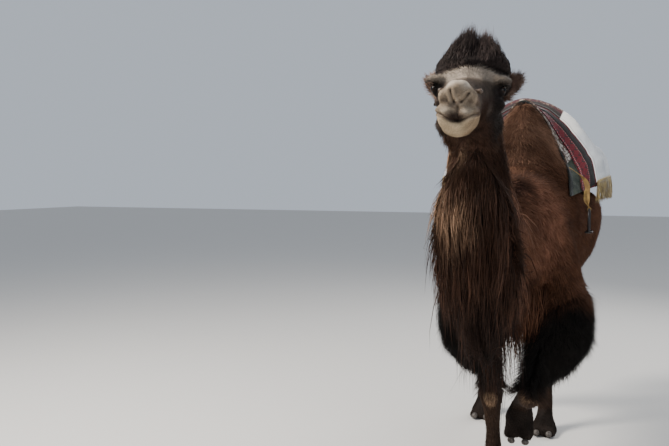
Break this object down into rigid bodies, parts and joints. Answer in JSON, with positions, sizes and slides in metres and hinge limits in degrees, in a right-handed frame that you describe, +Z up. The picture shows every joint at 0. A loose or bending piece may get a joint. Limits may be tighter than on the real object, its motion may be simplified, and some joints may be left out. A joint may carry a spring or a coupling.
{
  "type": "bactrian camel",
  "caption": "Bactrian camel in mid step, still, with a long winter coat, a saddle of layered blankets and rugs over its back, side pads, fringe and stirrups",
  "frame": {"origin": "on the floor under the middle of the whole bounding box", "axes": "+Y runs from the muzzle back to the tail, so the animal faces -Y; +X is the animal's left; +Z is up"},
  "size_m": [0.881, 2.8392, 2.2327],
  "materials": {
    "coat": "matt hair",
    "eye": "wet gloss",
    "toenail": "worn horn",
    "felt": "felted wool",
    "rug_mottled": "knotted wool",
    "rug_crimson": "knotted wool",
    "rug_dark": "woven wool",
    "sheet": "woven cotton",
    "fringe": "twisted thread",
    "strap": "woven webbing",
    "stirrup": "dull black",
    "pad": "stuffed canvas",
    "peg": "worn"
  },
  "bodies": {
    "root": {"crest": "coat", "ear_left": "coat", "ear_right": "coat", "eye_left": "eye", "eye_right": "eye", "felt_base": "felt", "fore_left_foot": "coat", "fore_left_lower": "coat", "fore_left_upper": "coat", "fore_right_foot": "coat", "fore_right_lower": "coat", "fore_right_upper": "coat", "fringe_left": "fringe", "fringe_right": "fringe", "head": "coat", "hind_left_foot": "coat", "hind_left_lower": "coat", "hind_left_upper": "coat", "hind_right_foot": "coat", "hind_right_lower": "coat", "hind_right_upper": "coat", "hump_front": "coat", "hump_rear": "coat", "jaw": "coat", "nail_fore_left_inner": "toenail", "nail_fore_left_outer": "toenail", "nail_fore_right_inner": "toenail", "nail_fore_right_outer": "toenail", "nail_hind_left_inner": "toenail", "nail_hind_left_outer": "toenail", "nail_hind_right_inner": "toenail", "nail_hind_right_outer": "toenail", "neck_lower": "coat", "neck_upper": "coat", "nose_peg": "peg", "rug_crimson": "rug_crimson", "rug_dark": "rug_dark", "rug_mottled": "rug_mottled", "saddle_pad_left": "pad", "saddle_pad_right": "pad", "sheet_pale": "sheet", "stirrup_left": "stirrup", "stirrup_right": "stirrup", "strap_left": "strap", "strap_right": "strap", "tail": "coat", "trunk": "coat"}
  },
  "joints": []
}
